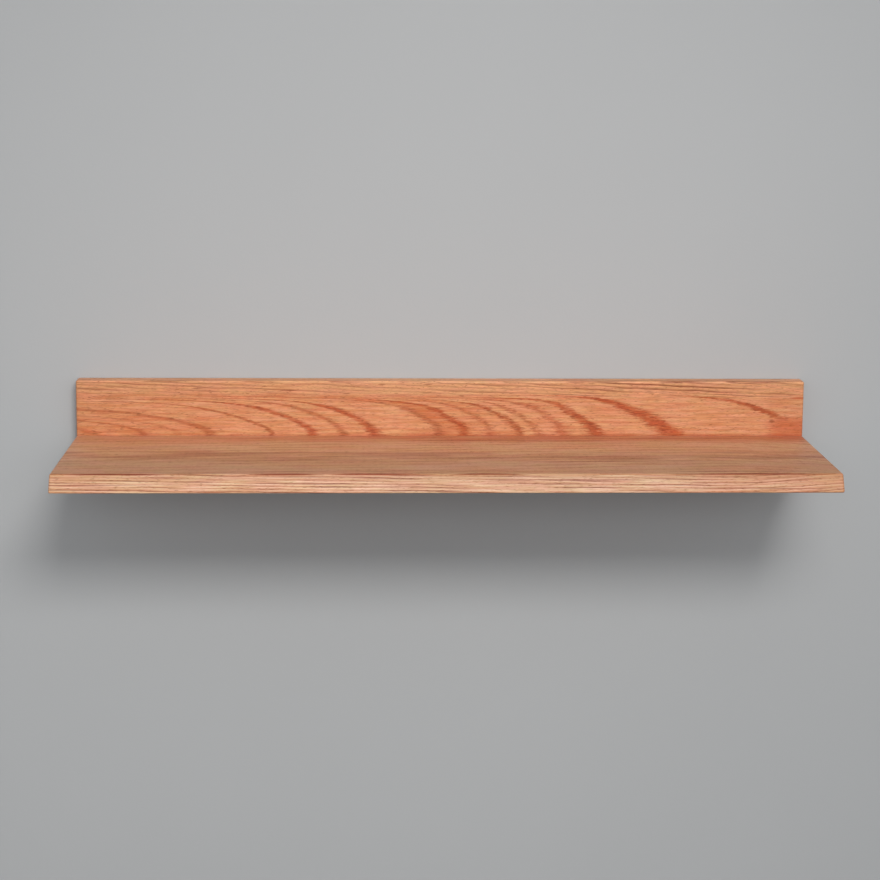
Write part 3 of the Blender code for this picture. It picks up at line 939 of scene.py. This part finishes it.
def lamp(name, place, target, size, power, spread, colour):
    data = bpy.data.lights.new(name, "AREA")
    data.spread = spread
    data.shape = "RECTANGLE"
    data.size, data.size_y = size
    data.energy = power
    data.color = colour
    made = bpy.data.objects.new(name, data)
    made.location = place
    made.rotation_euler = (target - place).to_track_quat("-Z", "Y").to_euler()
    made.visible_camera = False
    bpy.context.scene.collection.objects.link(made)


def towards(azimuth, elevation):
    """The direction from the shelf to a lamp, azimuth measured from straight in front to the right."""
    level = math.cos(elevation)
    return Vector((math.sin(azimuth) * level, -math.cos(azimuth) * level, math.sin(elevation)))


def light_scene():
    key = KEY_CENTRE + towards(KEY_AZIMUTH, KEY_ELEVATION) * KEY_DISTANCE
    fill = FILL_AIM + towards(FILL_AZIMUTH, FILL_ELEVATION) * FILL_DISTANCE
    lamp("key", key, KEY_AIM, KEY_SIZE, KEY_POWER, KEY_SPREAD, KEY_COLOUR)
    lamp("fill", fill, FILL_AIM, FILL_SIZE, FILL_POWER, ALL_ROUND, WHITE)
    lamp("rear", REAR_PLACE, REAR_AIM, REAR_SIZE, REAR_POWER, ALL_ROUND, WHITE)


def make_world():
    """Soft light from the upper half of the room, little from below, and a plain grey background."""
    world = bpy.data.worlds.new("studio")
    world.use_nodes = True
    tree = world.node_tree
    tree.nodes.clear()
    new, link = tree.nodes.new, tree.links.new
    way = new("ShaderNodeSeparateXYZ")
    link(new("ShaderNodeTexCoord").outputs["Generated"], way.inputs[0])
    rise = new("ShaderNodeMapRange")
    rise.inputs["From Min"].default_value = -HORIZON
    rise.inputs["From Max"].default_value = HORIZON
    rise.inputs["To Min"].default_value = LIGHT_BELOW
    rise.inputs["To Max"].default_value = LIGHT_ABOVE
    link(way.outputs[2], rise.inputs["Value"])
    lit = new("ShaderNodeBackground")
    lit.inputs["Color"].default_value = SKY_COLOUR
    link(rise.outputs[0], lit.inputs["Strength"])
    seen = new("ShaderNodeBackground")
    seen.inputs["Color"].default_value = BACKGROUND
    path = new("ShaderNodeLightPath").outputs
    mirrored, shown = new("ShaderNodeMath"), new("ShaderNodeMath")
    mirrored.operation = shown.operation = "MAXIMUM"
    link(path["Is Glossy Ray"], mirrored.inputs[0])
    link(path["Is Transmission Ray"], mirrored.inputs[1])
    link(path["Is Camera Ray"], shown.inputs[0])
    link(mirrored.outputs[0], shown.inputs[1])
    either = new("ShaderNodeMixShader")
    link(shown.outputs[0], either.inputs[0])
    link(lit.outputs[0], either.inputs[1])
    link(seen.outputs[0], either.inputs[2])
    out = new("ShaderNodeOutputWorld")
    link(either.outputs[0], out.inputs["Surface"])
    bpy.context.scene.world = world


# Camera


def make_camera():
    data = bpy.data.cameras.new("camera")
    data.sensor_fit = "HORIZONTAL"
    data.sensor_width = SENSOR
    data.lens = FOCAL_PIXELS / FRAME_PIXELS * SENSOR
    data.shift_x, data.shift_y = SHIFT
    data.clip_start = CLIP_START
    camera = bpy.data.objects.new("camera", data)
    turn = Matrix.Rotation(CAMERA_YAW, 3, "Z")
    tilt = Matrix.Rotation(math.pi / 2 + CAMERA_PITCH, 3, "X")
    roll = Matrix.Rotation(-CAMERA_ROLL, 3, "Z")
    camera.rotation_euler = (turn @ tilt @ roll).to_euler()
    camera.location = CAMERA_PLACE
    bpy.context.scene.collection.objects.link(camera)
    bpy.context.scene.camera = camera


# The scene

group = smoothing()
dress(["back_board"], back_board_wood(), group)
dress(["shelf_board"], shelf_board_wood(), group)
dress([name for name in nodes if name.startswith("dowel")], beech_wood(), group)
plates = [name for name in nodes if name.startswith("keyhole_plate")]
dress(plates, zinc("zinc_plate", PLATE_ZINC, PLATE_WORN), group)
screws = [name for name in nodes if "screw" in name]
dress(screws, zinc("zinc_screw", SCREW_ZINC, SCREW_WORN), group)

make_wall(one_sided("wall_paint", WALL_COLOUR, WALL_SPECK, WALL_BOUNCE))
make_floor(one_sided("floor_paint", FLOOR_COLOUR, FLOOR_SPECK, FLOOR_BOUNCE))
light_scene()
make_world()
make_camera()
bpy.context.scene.view_settings.view_transform = "Standard"
